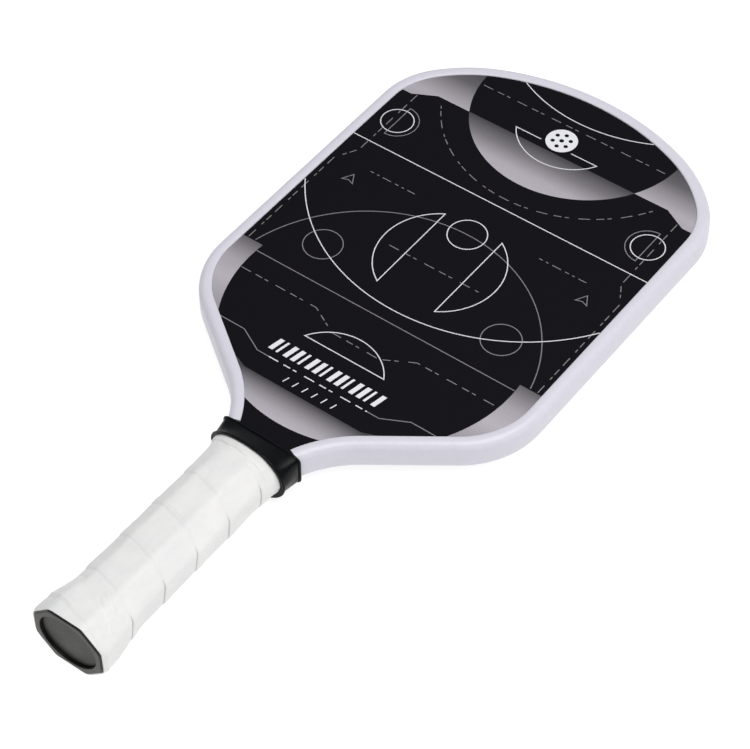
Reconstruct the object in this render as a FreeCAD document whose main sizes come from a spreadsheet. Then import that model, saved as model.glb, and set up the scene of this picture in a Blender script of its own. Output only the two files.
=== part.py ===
"""Pickleball paddle: honeycomb board, edge guard, wrapped handle and butt cap.

Row frame, millimetres: +X across the blade, +Y from the butt to the tip, +Z out of the front face.
The origin is the centre of the whole paddle, on its middle plane. Heights along the paddle are
written as distances from the butt end and shifted by half the length when a piece is placed.
"""
import FreeCAD
import Part
import math
import os
import Sketcher
from FreeCAD import Placement, Rotation, Vector

SIZES = {
    # overall
    "overall_length": 419.0,
    "overall_width": 190.5,
    # blade outline, measured at the outside of the edge guard
    "tip_radius": 139.2,
    "tip_half_angle": 22.9,
    "crown_radius": 84.1,
    "crown_end_angle": 41.3,
    "hip_radius": 47.3,
    "hip_centre_at": 223.1,
    "hip_turn": 54.3,
    "shoulder_run": 43.8,
    "neck_radius": 59.6,
    # board layers, from the middle plane outwards
    "core_half": 6.3,
    "bond_film": 0.1,
    "face_sheet": 0.5,
    "print_film": 0.1,
    "cell_pitch": 8.0,
    "cell_wall": 0.4,
    "edge_foam_width": 5.0,
    "neck_straight_at": 134.0,
    "tongue_half_width": 10.2,
    "tongue_end_at": 6.0,
    "print_end_at": 135.0,
    # edge guard channel
    "guard_height": 16.0,
    "guard_lip": 6.9,
    "guard_web": 2.3,
    "guard_tape": 0.3,
    "guard_corner": 3.6,
    "guard_end_at": 136.3,
    # handle coverings
    "wrap_wall": 1.8,
    "wrap_edge": 0.6,
    "underlay": 0.15,
    "underlay_start_at": 4.0,
    "underlay_end_at": 126.0,
    "finishing_tape": 0.15,
    # handle shells and butt cap
    "shell_start_at": 4.0,
    "shell_end_at": 134.6,
    "shell_end_half_width": 19.0,
    "shell_end_half_height": 7.4,
    "cap_skirt": 1.2,
    "cap_bevel": 0.75,
    "recess_half_width": 16.1,
    "recess_half_height": 14.1,
    "recess_depth": 2.7,
    "end_plate": 0.9,
    "end_plate_bond": 0.1,
    "end_plate_gap": 0.1,
    # staples through the cap skirt, crown along X
    "staple_at": 25.0,
    "staple_half_crown": 5.0,
    "staple_wire": 0.5,
    "staple_width": 1.2,
    "staple_leg": 4.0,
    # rubber collar over the neck
    "collar_high_at": 136.3,
    "collar_lip": 1.2,
    "collar_wall": 1.3,
    "collar_high_half_width": 22.1,
    "collar_high_half_height": 9.6,
    # rounded-octagon section: flat halves as shares of the section, and how fast they shrink inwards
    "flat_share_x": 0.467,
    "flat_share_z": 0.40,
    "flat_shrink_x": 0.40,
    "flat_shrink_z": 0.43,
}

# outside of the wrapped handle: name, distance from the butt, half width, half height
STATIONS = [
    ("lip", 0.8, 20.05, 17.25),
    ("rim", 3.0, 20.5, 17.65),
    ("flare", 6.0, 20.6, 17.7),
    ("taper", 14.5, 19.6, 16.85),
    ("skirt", 23.0, 17.7, 15.05),
    ("waist", 28.0, 17.2, 14.6),
    ("hold_low", 34.0, 17.05, 14.5),
    ("hold_high", 105.0, 17.05, 14.5),
    ("swell", 113.0, 17.7, 14.2),
    ("throat", 119.7, 19.2, 13.7),
    ("cuff", 124.0, 20.4, 13.1),
    ("wrap_end", 127.0, 20.8, 12.6),
]
NAMES = [station[0] for station in STATIONS]

doc = FreeCAD.newDocument("PickleballPaddle")
sheet = doc.addObject("Spreadsheet::Sheet", "Sizes")


def fill_sheet():
    """One row per size: the name in column A, the plain number in column B under that alias."""
    values = dict(SIZES)
    for name, distance, half_width, half_height in STATIONS:
        values[name + "_at"] = distance
        values[name + "_half_width"] = half_width
        values[name + "_half_height"] = half_height
    for row, (name, value) in enumerate(values.items(), start=1):
        sheet.set("A%d" % row, name)
        sheet.set("B%d" % row, str(value))
        sheet.setAlias("B%d" % row, name)
    doc.recompute()


def size(name):
    return float(getattr(sheet, name))


def row_y(name):
    """Y of a place given as a distance from the butt."""
    return size(name) - size("overall_length") / 2


def row_y_expression(name):
    return "Sizes.%s - Sizes.overall_length / 2" % name


# ---------------------------------------------------------------- blade outline


def outline_right(offset, bottom):
    """Right half of the blade outline, set in from the guard's outside by offset, from tip to bottom.

    All the arcs keep their centres, so an inner outline is parallel to the outer one everywhere.
    Below the neck arc the outline runs straight on until it is as narrow as the tongue, then
    straight down inside the handle.
    """
    half_width = size("overall_width") / 2
    butt = -size("overall_length") / 2
    tip_end = math.radians(90 - size("tip_half_angle"))
    crown_end = math.radians(size("crown_end_angle"))
    turn = math.radians(size("hip_turn"))

    tip_radius = size("tip_radius")
    crown_radius = size("crown_radius")
    hip_radius = size("hip_radius")
    neck_radius = size("neck_radius")

    tip_centre = Vector(0, -butt - tip_radius)
    crown_centre = tip_centre + unit(tip_end) * (tip_radius - crown_radius)
    corner_radius = half_width - crown_centre.x - crown_radius * math.cos(crown_end)
    corner_radius /= 1 - math.cos(crown_end)
    corner_centre = crown_centre + unit(crown_end) * (crown_radius - corner_radius)
    hip_centre = Vector(half_width - hip_radius, butt + size("hip_centre_at"))
    outward = unit(-turn)
    downhill = Vector(-math.sin(turn), -math.cos(turn))
    shoulder_top = hip_centre + outward * hip_radius
    shoulder_foot = shoulder_top + downhill * size("shoulder_run")
    neck_centre = shoulder_foot + outward * neck_radius

    neck = neck_radius + offset
    board_neck = neck_radius + board_offset()
    arc_low = math.asin((row_y("neck_straight_at") - neck_centre.y) / board_neck)
    drop = max(-1.0, min(1.0, (bottom - neck_centre.y) / neck))
    neck_stop = max(arc_low, math.asin(drop))
    side = half_width - offset
    shift = outward * -offset
    parts = [
        arc(tip_centre, tip_radius - offset, tip_end, math.pi / 2),
        arc(crown_centre, crown_radius - offset, crown_end, tip_end),
        arc(corner_centre, corner_radius - offset, 0, crown_end),
        Part.LineSegment(Vector(side, corner_centre.y), Vector(side, hip_centre.y)),
        arc(hip_centre, hip_radius - offset, -turn, 0),
        Part.LineSegment(shoulder_top + shift, shoulder_foot + shift),
        arc(neck_centre, neck, math.pi - turn, math.pi - neck_stop),
    ]
    end = Vector(neck_centre.x - neck * math.cos(neck_stop), neck_centre.y + neck * math.sin(neck_stop))
    if end.y - bottom > 1e-6:
        tongue = size("tongue_half_width") + board_offset() - offset
        lean = math.tan(neck_stop)
        taper_low = max(bottom, end.y - (end.x - tongue) / lean)
        taper_foot = Vector(end.x - (end.y - taper_low) * lean, taper_low)
        parts.append(Part.LineSegment(end, taper_foot))
        end = taper_foot
    if end.y - bottom > 1e-6:
        foot = Vector(end.x, bottom)
        parts.append(Part.LineSegment(end, foot))
        end = foot
    return parts, end


def unit(angle):
    return Vector(math.cos(angle), math.sin(angle))


def arc(centre, radius, start, stop):
    return Part.ArcOfCircle(Part.Circle(centre, Vector(0, 0, 1), radius), start, stop)


def outline(offset, bottom):
    """Whole closed outline: the right half, its mirror image, and a straight end across the bottom."""
    parts, end = outline_right(offset, bottom)
    mirrored = []
    for part in parts:
        twin = part.copy()
        twin.mirror(Vector(0, 0, 0), Vector(0, 1, 0))
        mirrored.append(twin)
    return parts + mirrored + [Part.LineSegment(end, Vector(-end.x, end.y))]


def outline_face(offset, bottom):
    edges = [part.toShape() for part in outline(offset, bottom)]
    return Part.Face(Part.Wire(Part.__sortEdges__(edges)))


# ---------------------------------------------------------------- PartDesign helpers


def new_body(name):
    body = doc.addObject("PartDesign::Body", name)
    body.Label = name
    return body


def origin_plane(body, role):
    return next(item for item in body.Origin.OriginFeatures if item.Role == role)


def flat_sketch(body, name, geometry):
    """Sketch on the body's XY plane whose touching ends are tied together."""
    sketch = body.newObject("Sketcher::SketchObject", name)
    sketch.AttachmentSupport = [(origin_plane(body, "XY_Plane"), "")]
    sketch.MapMode = "FlatFace"
    sketch.addGeometry(geometry, False)
    tie_ends(sketch)
    return sketch


def tie_ends(sketch):
    ends = []
    for index in range(len(sketch.Geometry)):
        for which in (1, 2):
            ends.append((index, which, sketch.getPoint(index, which)))
    used = set()
    for place, (index, which, point) in enumerate(ends):
        for other, (other_index, other_which, other_point) in enumerate(ends[place + 1:], place + 1):
            if place in used or other in used or index == other_index:
                continue
            if point.distanceToPoint(other_point) < 1e-5:
                tie = Sketcher.Constraint("Coincident", index, which, other_index, other_which)
                sketch.addConstraint(tie)
                used.update((place, other))


def pad(body, sketch, length_expression, midplane=False):
    feature = body.newObject("PartDesign::Pad", "Pad")
    feature.Profile = sketch
    feature.setExpression("Length", length_expression)
    if midplane:
        feature.SideType = "Symmetric"
    sketch.Visibility = False
    doc.recompute()
    return feature


def pocket(body, sketch, length_expression):
    """Cut both ways from the sketch, and make sure that it really removed something."""
    before = body.Shape.Volume
    feature = body.newObject("PartDesign::Pocket", "Pocket")
    feature.Profile = sketch
    feature.SideType = "Symmetric"
    feature.setExpression("Length", length_expression)
    sketch.Visibility = False
    doc.recompute()
    if body.Shape.Volume > before - 1:
        raise RuntimeError("%s: the pocket removed nothing" % body.Label)
    return feature


# ---------------------------------------------------------------- board


def board_offset():
    return size("guard_web") + size("guard_tape")


def plate(name, low_expression, thickness_expression, bottom_name):
    """One flat layer of the board, its underside at the given height."""
    body = new_body(name)
    sketch = flat_sketch(body, name + "_outline", outline(board_offset(), row_y(bottom_name)))
    pad(body, sketch, thickness_expression)
    body.setExpression("Placement.Base.z", low_expression)
    return body


def make_board_layers():
    bond_low = "Sizes.core_half"
    sheet_low = bond_low + " + Sizes.bond_film"
    print_low = sheet_low + " + Sizes.face_sheet"
    layers = [
        ("core_bond", "bond_film", bond_low, "tongue_end_at"),
        ("face_sheet", "face_sheet", sheet_low, "tongue_end_at"),
        ("printed_film", "print_film", print_low, "print_end_at"),
    ]
    made = []
    for name, thickness, low, bottom in layers:
        thick = "Sizes." + thickness
        made.append(plate("front_" + name, low, thick, bottom))
        made.append(plate("rear_" + name, "-(%s) - %s" % (low, thick), thick, bottom))
    return made


def make_edge_foam():
    """Foam bead round the honeycomb, as thick as the core and open where the honeycomb sits."""
    body = new_body("edge_foam")
    foot = row_y("tongue_end_at")
    outer = outline(board_offset(), foot)
    inner = outline(board_offset() + size("edge_foam_width"), foot + size("edge_foam_width"))
    sketch = flat_sketch(body, "edge_foam_ring", outer + inner)
    pad(body, sketch, "2 * Sizes.core_half", midplane=True)
    return body


def hexagon(centre, across_flats):
    """Wire round one cell, running the other way from an outer boundary, as a hole has to."""
    radius = across_flats / math.sqrt(3)
    corners = [centre + unit(math.radians(30 + 60 * k)) * radius for k in range(7)]
    return Part.makePolygon(corners).reversed()


def make_honeycomb():
    """Honeycomb slab: a plate with a hexagonal hole for every cell that fits inside its outline."""
    pitch = size("cell_pitch")
    wall = size("cell_wall")
    offset = board_offset() + size("edge_foam_width")
    bottom = row_y("tongue_end_at") + size("edge_foam_width")
    room = outline_face(offset + wall, bottom + wall)
    rows = int(size("overall_length") / (pitch * math.sqrt(3) / 2)) + 1
    columns = int(size("overall_width") / pitch) + 1
    cells = []
    for row in range(-rows // 2, rows // 2 + 1):
        for column in range(-columns // 2, columns // 2 + 1):
            shift = 0.5 if row % 2 else 0.0
            centre = Vector((column + shift) * pitch, row * pitch * math.sqrt(3) / 2)
            cell = hexagon(centre, pitch - wall)
            if all(room.isInside(corner.Point, 1e-4, True) for corner in cell.Vertexes):
                cells.append(cell)
    slab = Part.Face([outline_face(offset, bottom).OuterWire] + cells)
    core = doc.addObject("Part::Feature", "honeycomb_core")
    core.Label = "honeycomb_core"
    core.Shape = slab.extrude(Vector(0, 0, 2 * size("core_half")))
    core.Placement = Placement(Vector(0, 0, -size("core_half")), Rotation())
    return core


# ---------------------------------------------------------------- edge guard


def make_edge_guard():
    """Soft-cornered channel round the board: padded plate, rounded rims, open middle, board slot."""
    body = new_body("edge_guard")
    end = row_y("guard_end_at")
    blank = flat_sketch(body, "guard_outside", outline(0, end))
    block = pad(body, blank, "Sizes.guard_height", midplane=True)

    rounding = body.newObject("PartDesign::Fillet", "RoundRims")
    rounding.Base = (block, rim_edges(block.Shape, end))
    rounding.setExpression("Radius", "Sizes.guard_corner")
    doc.recompute()

    past_end = end - size("guard_lip")
    slot = flat_sketch(body, "board_slot", outline(size("guard_web"), past_end))
    pocket(body, slot, "2 * (Sizes.core_half + Sizes.bond_film + Sizes.face_sheet + Sizes.print_film)")
    opening = flat_sketch(body, "face_opening", outline(size("guard_lip"), past_end))
    pocket(body, opening, "2 * Sizes.guard_height")
    return body


def rim_edges(shape, end):
    """The edges round the top and bottom faces, without the two that run across the neck end."""
    names = []
    for number, edge in enumerate(shape.Edges, start=1):
        box = edge.BoundBox
        level = box.ZLength < 1e-6
        across_end = box.YLength < 1e-6 and abs(box.YMin - end) < 1e-6
        if level and not across_end:
            names.append("Edge%d" % number)
    return names


def make_guard_tape():
    """Thin double-sided tape between the board's edge and the guard's web."""
    body = new_body("edge_guard_tape")
    end = row_y("guard_end_at")
    outer = outline(size("guard_web"), end)
    ring = flat_sketch(body, "tape_outside", outer)
    pad(body, ring, "2 * (Sizes.core_half + Sizes.bond_film + Sizes.face_sheet)", midplane=True)
    board = flat_sketch(body, "board_edge", outline(board_offset(), end - size("guard_lip")))
    pocket(body, board, "2 * Sizes.guard_height")
    return body


# ---------------------------------------------------------------- handle sections


def section(name, at, half_width, half_height, inset="0"):
    """Octagonal sketch across the handle, with every size tied to the sheet.

    The flats get shorter towards the inside, so that nested sections keep an even wall.
    """
    sketch = doc.addObject("Sketcher::SketchObject", name)
    sketch.Placement = Placement(Vector(0, 0, 0), Rotation(Vector(1, 0, 0), 90))
    sketch.setExpression("Placement.Base.y", at)
    corners = [(9, 20), (20, 9), (20, -9), (9, -20), (-9, -20), (-20, -9), (-20, 9), (-9, 20)]
    points = [Vector(x, y) for x, y in corners]
    sides = [Part.LineSegment(points[k], points[(k + 1) % 8]) for k in range(8)]
    sketch.addGeometry(sides, False)
    for side in range(8):
        sketch.addConstraint(Sketcher.Constraint("Coincident", side, 2, (side + 1) % 8, 1))
    x_axis = -1
    y_axis = -2
    mirrored = [
        (0, 1, 7, 1, y_axis), (1, 1, 6, 1, y_axis), (2, 1, 5, 1, y_axis),
        (3, 1, 4, 1, y_axis), (1, 1, 2, 1, x_axis), (0, 1, 3, 1, x_axis),
    ]
    for pair in mirrored:
        sketch.addConstraint(Sketcher.Constraint("Symmetric", *pair))
    spans = [
        ("DistanceX", 6, 1, 1, 1, 40.0, "2 * (%s - (%s))" % (half_width, inset)),
        ("DistanceY", 3, 1, 0, 1, 40.0, "2 * (%s - (%s))" % (half_height, inset)),
        ("DistanceX", 7, 1, 0, 1, 18.0,
         "2 * (Sizes.flat_share_x * %s - Sizes.flat_shrink_x * (%s))" % (half_width, inset)),
        ("DistanceY", 2, 1, 1, 1, 18.0,
         "2 * (Sizes.flat_share_z * %s - Sizes.flat_shrink_z * (%s))" % (half_height, inset)),
    ]
    for kind, first, first_end, second, second_end, start, expression in spans:
        dimension = Sketcher.Constraint(kind, first, first_end, second, second_end, start)
        index = sketch.addConstraint(dimension)
        sketch.setExpression("Constraints[%d]" % index, expression)
    sketch.Visibility = False
    return sketch


def station_section(prefix, station, inset):
    half_width = "Sizes.%s_half_width" % station
    half_height = "Sizes.%s_half_height" % station
    return section(prefix + "_" + station, row_y_expression(station + "_at"), half_width, half_height, inset)


def loft(name, sections):
    feature = doc.addObject("Part::Loft", name)
    feature.Sections = sections
    feature.Solid = True
    feature.Ruled = True
    return feature


def cut(name, base, tool):
    feature = doc.addObject("Part::Cut", name)
    feature.Base = base
    feature.Tool = tool
    feature.Label = name
    return feature


def common(name, base, tool):
    feature = doc.addObject("Part::Common", name)
    feature.Base = base
    feature.Tool = tool
    feature.Label = name
    return feature


def fuse(name, base, tool):
    feature = doc.addObject("Part::Fuse", name)
    feature.Base = base
    feature.Tool = tool
    return feature


def extrusion(name, sketch, length_expression, direction):
    feature = doc.addObject("Part::Extrusion", name)
    feature.Base = sketch
    feature.DirMode = "Custom"
    feature.Dir = direction
    feature.Solid = True
    feature.Symmetric = True
    feature.setExpression("LengthFwd", length_expression)
    return feature


WRAP_INSET = "Sizes.wrap_wall"
CAP_INSET = "Sizes.wrap_wall + Sizes.underlay"
STUB_INSET = "Sizes.wrap_wall + Sizes.underlay + Sizes.cap_skirt"


def make_wrap():
    """Cushioned wrap: the outside of the handle, with the underlay and the cap's rim cut out of it."""
    outside = loft("wrap_outside", [station_section("wrap_out", name, "0") for name in NAMES])
    insides = [station_section("wrap_in", "lip", "Sizes.wrap_edge")]
    insides += [station_section("wrap_in", name, WRAP_INSET) for name in NAMES[1:]]
    return cut("grip_wrap", outside, loft("wrap_inside", insides))


def handle_slab(name, low, high):
    """Square block round the handle between two heights, to trim a covering's ends."""
    block = doc.addObject("Part::Box", name)
    block.setExpression("Length", "Sizes.overall_width")
    block.setExpression("Height", "Sizes.overall_width")
    block.setExpression("Width", "Sizes.%s - Sizes.%s" % (high, low))
    block.setExpression("Placement.Base.x", "-Sizes.overall_width / 2")
    block.setExpression("Placement.Base.z", "-Sizes.overall_width / 2")
    block.setExpression("Placement.Base.y", row_y_expression(low))
    return block


def make_underlay():
    """Double-sided tape under the wrap, from the cap's flare to the collar."""
    outer = loft("underlay_outside", [station_section("tape_out", name, WRAP_INSET) for name in NAMES[1:]])
    inner = loft("underlay_inside", [station_section("tape_in", name, CAP_INSET) for name in NAMES[1:]])
    sleeve = cut("underlay_sleeve", outer, inner)
    trim = handle_slab("underlay_reach", "underlay_start_at", "underlay_end_at")
    return common("grip_underlay_tape", sleeve, trim)


def make_finishing_tape():
    """Thin band that holds the wrap's last turn, hidden under the rubber collar."""
    names = ["cuff", "wrap_end"]
    outer = [station_section("band_out", name, "-Sizes.finishing_tape") for name in names]
    inner = [station_section("band_in", name, "0") for name in names]
    return cut("finishing_tape", loft("band_outside", outer), loft("band_inside", inner))


# ---------------------------------------------------------------- handle shells, cap and staples


def board_block(name, half_height_expression):
    """The board as one block, used to cut its slot out of the pieces round it."""
    sketch = doc.addObject("Sketcher::SketchObject", name + "_outline")
    sketch.addGeometry(outline(board_offset(), row_y("tongue_end_at")), False)
    sketch.Visibility = False
    block = extrusion(name, sketch, "2 * (%s)" % half_height_expression, Vector(0, 0, 1))
    return block


def make_staples():
    """Two U-shaped staples, front and rear, let into the cap skirt and driven into the shells."""
    half = size("staple_half_crown")
    wire = size("staple_wire")
    top = size("hold_low_half_height") - size("wrap_wall") - size("underlay")
    foot = top - wire - size("staple_leg")
    profile = [
        (-half, top), (half, top), (half, foot), (half - wire, foot),
        (half - wire, top - wire), (wire - half, top - wire), (wire - half, foot), (-half, foot),
    ]
    sketch = doc.addObject("Sketcher::SketchObject", "staple_profile")
    sketch.Placement = Placement(Vector(0, 0, 0), Rotation(Vector(1, 0, 0), 90))
    sketch.setExpression("Placement.Base.y", row_y_expression("staple_at"))
    for sign in (1, -1):
        points = [Vector(x, sign * z) for x, z in profile]
        sketch.addGeometry([Part.LineSegment(points[k], points[(k + 1) % 8]) for k in range(8)], False)
    sketch.Visibility = False
    staples = extrusion("butt_cap_staples", sketch, "Sizes.staple_width", Vector(0, 1, 0))
    staples.Label = "butt_cap_staples"
    return staples


def make_stub():
    """Where the handle shells are thinner, to go inside the butt cap."""
    grip_sizes = ("Sizes.hold_low_half_width", "Sizes.hold_low_half_height", STUB_INSET)
    low = section("stub_low", row_y_expression("shell_start_at"), *grip_sizes)
    high = section("stub_high", row_y_expression("waist_at"), *grip_sizes)
    return loft("shell_stub", [low, high])


def make_shells(stub, staples):
    """Front and rear half shells glued over the board's tongue, ramping down to it at the neck."""
    ridge = [station_section("shell", name, CAP_INSET) for name in NAMES[NAMES.index("waist"):]]
    ramp = section("shell_ramp_end", row_y_expression("shell_end_at"),
                   "Sizes.shell_end_half_width", "Sizes.shell_end_half_height")
    blank = fuse("shell_blank", stub, loft("shell_main", ridge + [ramp]))
    tongue = board_block("tongue_slot", "Sizes.core_half + Sizes.bond_film + Sizes.face_sheet")
    slotted = cut("shell_slotted", blank, tongue)
    stapled = cut("shell_stapled", slotted, staples)
    shells = []
    for name, low in (("front_handle_shell", "0"), ("rear_handle_shell", "-Sizes.overall_width")):
        half = handle_slab(name + "_side", "shell_start_at", "guard_end_at")
        half.setExpression("Placement.Base.z", low)
        shells.append(common(name, stapled, half))
    return shells


def oval(name, at, shrink):
    """Oval sketch in the butt's end, the recess outline set in by shrink."""
    sketch = doc.addObject("Sketcher::SketchObject", name)
    sketch.Placement = Placement(Vector(0, 0, 0), Rotation(Vector(1, 0, 0), 90))
    sketch.setExpression("Placement.Base.y", at)
    half_width = size("recess_half_width") - shrink
    half_height = size("recess_half_height") - shrink
    ellipse = Part.Ellipse(Vector(half_width, 0), Vector(0, half_height), Vector(0, 0))
    sketch.addGeometry(ellipse, False)
    sketch.Visibility = False
    return sketch


def oval_plate(name, start_expression, thickness, shrink):
    """Flat oval plate that starts at a depth inside the butt and goes deeper by its thickness."""
    middle = "%s - Sizes.overall_length / 2 + (%s) / 2" % (start_expression, thickness)
    feature = extrusion(name, oval(name + "_outline", middle, shrink), thickness, Vector(0, 1, 0))
    feature.Label = name
    return feature


def make_butt_cap(stub, staples):
    """Flared cap with a bevelled end face and an oval recess, hollow where the handle goes in."""
    lip_sizes = ("Sizes.lip_half_width", "Sizes.lip_half_height")
    face_inset = "Sizes.wrap_edge + Sizes.cap_bevel"
    face = section("cap_face", "-Sizes.overall_length / 2", *lip_sizes, face_inset)
    rim = station_section("cap", "lip", "Sizes.wrap_edge")
    flare_names = NAMES[NAMES.index("rim"):NAMES.index("waist") + 1]
    flare = [station_section("cap", name, CAP_INSET) for name in flare_names]
    hollow = cut("cap_hollow", loft("cap_outside", [face, rim] + flare), stub)
    recess = oval_plate("cap_recess", "0", "Sizes.recess_depth", 0)
    recessed = cut("cap_recessed", hollow, recess)
    return cut("butt_cap", recessed, staples)


def make_end_plate():
    """Oval plate at the bottom of the recess, on its own adhesive."""
    gap = size("end_plate_gap")
    bond_start = "Sizes.recess_depth - Sizes.end_plate_bond"
    plate_start = bond_start + " - Sizes.end_plate"
    bond = oval_plate("end_plate_bond", bond_start, "Sizes.end_plate_bond", gap)
    return [oval_plate("butt_end_plate", plate_start, "Sizes.end_plate", gap), bond]


# ---------------------------------------------------------------- rubber collar


def make_collar():
    """Rubber collar: flat where it grips the board, oval where it covers the wrap's end."""
    wall = "-(Sizes.collar_wall)"
    low = station_section("collar_out", "cuff", wall)
    middle = station_section("collar_out", "wrap_end", wall)
    high_sizes = ("Sizes.collar_high_half_width", "Sizes.collar_high_half_height")
    high = collar_neck_section("collar_out_high", "Sizes.collar_high_at", high_sizes, "0")
    outside = loft("collar_outside", [low, middle, high])

    loose = "-(Sizes.finishing_tape)"
    inner_low = station_section("collar_in", "cuff", loose)
    inner_middle = station_section("collar_in", "wrap_end", loose)
    inner_at = "Sizes.collar_high_at - Sizes.collar_lip"
    inner_high = collar_neck_section("collar_in_high", inner_at, high_sizes, "Sizes.collar_wall")
    hollow = cut("collar_hollow", outside, loft("collar_inside", [inner_low, inner_middle, inner_high]))
    full_half = "Sizes.core_half + Sizes.bond_film + Sizes.face_sheet + Sizes.print_film"
    return cut("grip_collar", hollow, board_block("neck_slot", full_half))


def collar_neck_section(name, at, sizes, inset):
    return section(name, at + " - Sizes.overall_length / 2", *sizes, inset)


# ---------------------------------------------------------------- whole paddle


def check_document():
    for item in doc.Objects:
        if "Invalid" in item.State or "Error" in item.State:
            raise RuntimeError("%s failed: %s" % (item.Label, item.State))


def write_part(item):
    shape = item.Shape
    if shape.isNull() or not shape.isValid() or not shape.Solids:
        raise RuntimeError("%s has no valid solid" % item.Label)
    print("%-22s %8.2f cm3  %d solid(s)" % (item.Label, shape.Volume / 1000, len(shape.Solids)))
    shape.exportStep("parts/%s.step" % item.Label)


def main():
    fill_sheet()
    pieces = [make_honeycomb(), make_edge_foam()]
    pieces += make_board_layers()
    pieces += [make_edge_guard(), make_guard_tape()]
    stub = make_stub()
    staples = make_staples()
    pieces += make_shells(stub, staples)
    pieces += [make_butt_cap(stub, staples), staples]
    pieces += make_end_plate()
    pieces += [make_underlay(), make_wrap(), make_finishing_tape(), make_collar()]
    doc.recompute()
    check_document()
    os.makedirs("parts", exist_ok=True)
    for piece in pieces:
        write_part(piece)


main()
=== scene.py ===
"""Looks of the pickleball paddle: printed faces, edge guard, wrapped handle, collar and butt cap.

Metres, in the CAD frame: +X across the blade, +Y from the butt to the tip, +Z out of the front face.
"""

import math

import bmesh
import bpy
from mathutils import Matrix, Vector, noise
from mathutils.geometry import tessellate_polygon


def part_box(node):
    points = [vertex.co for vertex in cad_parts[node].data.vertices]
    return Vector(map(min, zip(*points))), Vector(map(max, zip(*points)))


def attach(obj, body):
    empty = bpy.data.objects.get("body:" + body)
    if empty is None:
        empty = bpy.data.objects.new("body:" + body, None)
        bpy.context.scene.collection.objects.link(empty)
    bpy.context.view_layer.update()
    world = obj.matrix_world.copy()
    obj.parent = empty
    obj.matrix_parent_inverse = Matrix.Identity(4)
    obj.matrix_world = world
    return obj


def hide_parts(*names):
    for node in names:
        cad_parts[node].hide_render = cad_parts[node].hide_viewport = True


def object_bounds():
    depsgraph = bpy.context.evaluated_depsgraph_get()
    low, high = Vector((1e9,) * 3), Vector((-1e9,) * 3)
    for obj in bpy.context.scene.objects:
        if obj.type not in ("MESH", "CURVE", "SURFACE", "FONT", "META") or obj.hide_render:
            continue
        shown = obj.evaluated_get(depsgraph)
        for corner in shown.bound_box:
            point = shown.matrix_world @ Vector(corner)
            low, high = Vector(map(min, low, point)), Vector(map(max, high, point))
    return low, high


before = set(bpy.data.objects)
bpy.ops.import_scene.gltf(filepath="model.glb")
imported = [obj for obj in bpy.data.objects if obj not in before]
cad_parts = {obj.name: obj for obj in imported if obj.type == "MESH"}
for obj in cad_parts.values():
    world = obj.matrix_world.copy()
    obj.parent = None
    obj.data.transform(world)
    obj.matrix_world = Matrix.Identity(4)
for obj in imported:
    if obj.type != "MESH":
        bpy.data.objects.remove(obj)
cad_low, cad_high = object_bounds()

MM = 0.001
HALF_LENGTH = cad_high.y
HALF_WIDTH = cad_high.x
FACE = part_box("front_printed_film")[1].z
GUARD_HALF_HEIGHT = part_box("edge_guard")[1].z
GUARD_OVERRUN = 0.8 * MM
NECK_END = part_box("edge_guard")[0].y - GUARD_OVERRUN

# blade outline at the outside of the guard, as the frame has it
TIP_RADIUS = 139.2 * MM
TIP_HALF_ANGLE = math.radians(22.9)
CROWN_RADIUS = 84.1 * MM
CROWN_END = math.radians(41.3)
HIP_RADIUS = 47.3 * MM
HIP_CENTRE = 223.1 * MM
HIP_TURN = math.radians(54.3)
SHOULDER_RUN = 43.8 * MM
NECK_RADIUS = 59.6 * MM
OUTLINE_STEP = 2.2 * MM

# guard's channel: lip, its rounded edge as (back from the edge, above the face), and outer corner
GUARD_LIP = 6.55 * MM
LIP_GAIN = 0.5 * MM
LIP_GAIN_FROM = 120 * MM
LIP_GAIN_RUN = 80 * MM
LIP_EDGE = ((0.0, 0.0), (0.02, 0.35), (0.2, 0.62), (0.6, 0.78))
LIP_SLOPE_END = 1.1
GUARD_CORNER = 3.6
GUARD_FLAT_START = 4.6
GUARD_WALL = 2.4

# printed graphic: height of its centre, the ink and its lines, and the reach of the silver fades
ART_CENTRE = 88.5 * MM
INK = 0.04 * MM
INK_ROOT = 0.02 * MM
WHITE_LINE = 0.54 * MM
GREY_LINE = 0.47 * MM
SILVER_LOWEST = ART_CENTRE - 155 * MM
SILVER_HIGHEST = ART_CENTRE + 105 * MM

# drawn and open lengths of the dashed lines, in millimetres
DASHES = (5.8, 3.1, 3.9, 1.7, 2.1, 4.6)
FINE_DASHES = (2.1, 2.0, 1.4, 2.2, 5.2, 2.4)
SHORTEST_DASH = 0.2

# a line's sharp corner never reaches further out than half its width / MITRE_LIMIT
MITRE_LIMIT = 0.35

# its shared circles, as (centre's height, radius), and heights, in millimetres from its centre
SUN = (102.4, 58.6)
BOWL = (-73.4, 76.95)
HORIZON = 72.5
SKY_FOOT = 65.9
FIELD_TOP = -65.0
WING_LINE = -113.6
SERVE_LINE = -120.5
THROAT_TOP = -129.2
THROAT_NOTCH = -132.1

# its small circles on the right, and the ball, as (x, y), with their radii
POST = (76.0, 45.1)
POST_RADIUS = 8.6
POST_OUTER_RADIUS = 11.25
SPOT = (53.2, -47.1)
SPOT_RADIUS = 10.0
BALL = (0, 82.5)
BALL_RADIUS = 8.3

# wrapped handle, in millimetres: distance from the butt, half width, half height
GRIP_STATIONS = (
    (0.8, 20.0, 17.05), (3.0, 20.5, 17.15), (6.0, 20.6, 17.1), (14.5, 19.8, 16.6),
    (23.0, 18.1, 15.05), (28.0, 17.6, 14.6), (34.0, 17.45, 14.5), (105.0, 17.45, 14.5),
    (113.0, 18.2, 14.2), (119.7, 19.8, 13.7), (124.0, 21.1, 13.1), (127.0, 21.4, 12.6),
)
WRAP_START = 0.8
WRAP_END = 127.0

# flats of the handle's octagon, as shares of its half width and half height
FLAT_SHARE_X = 0.467
FLAT_SHARE_Z = 0.40

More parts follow.
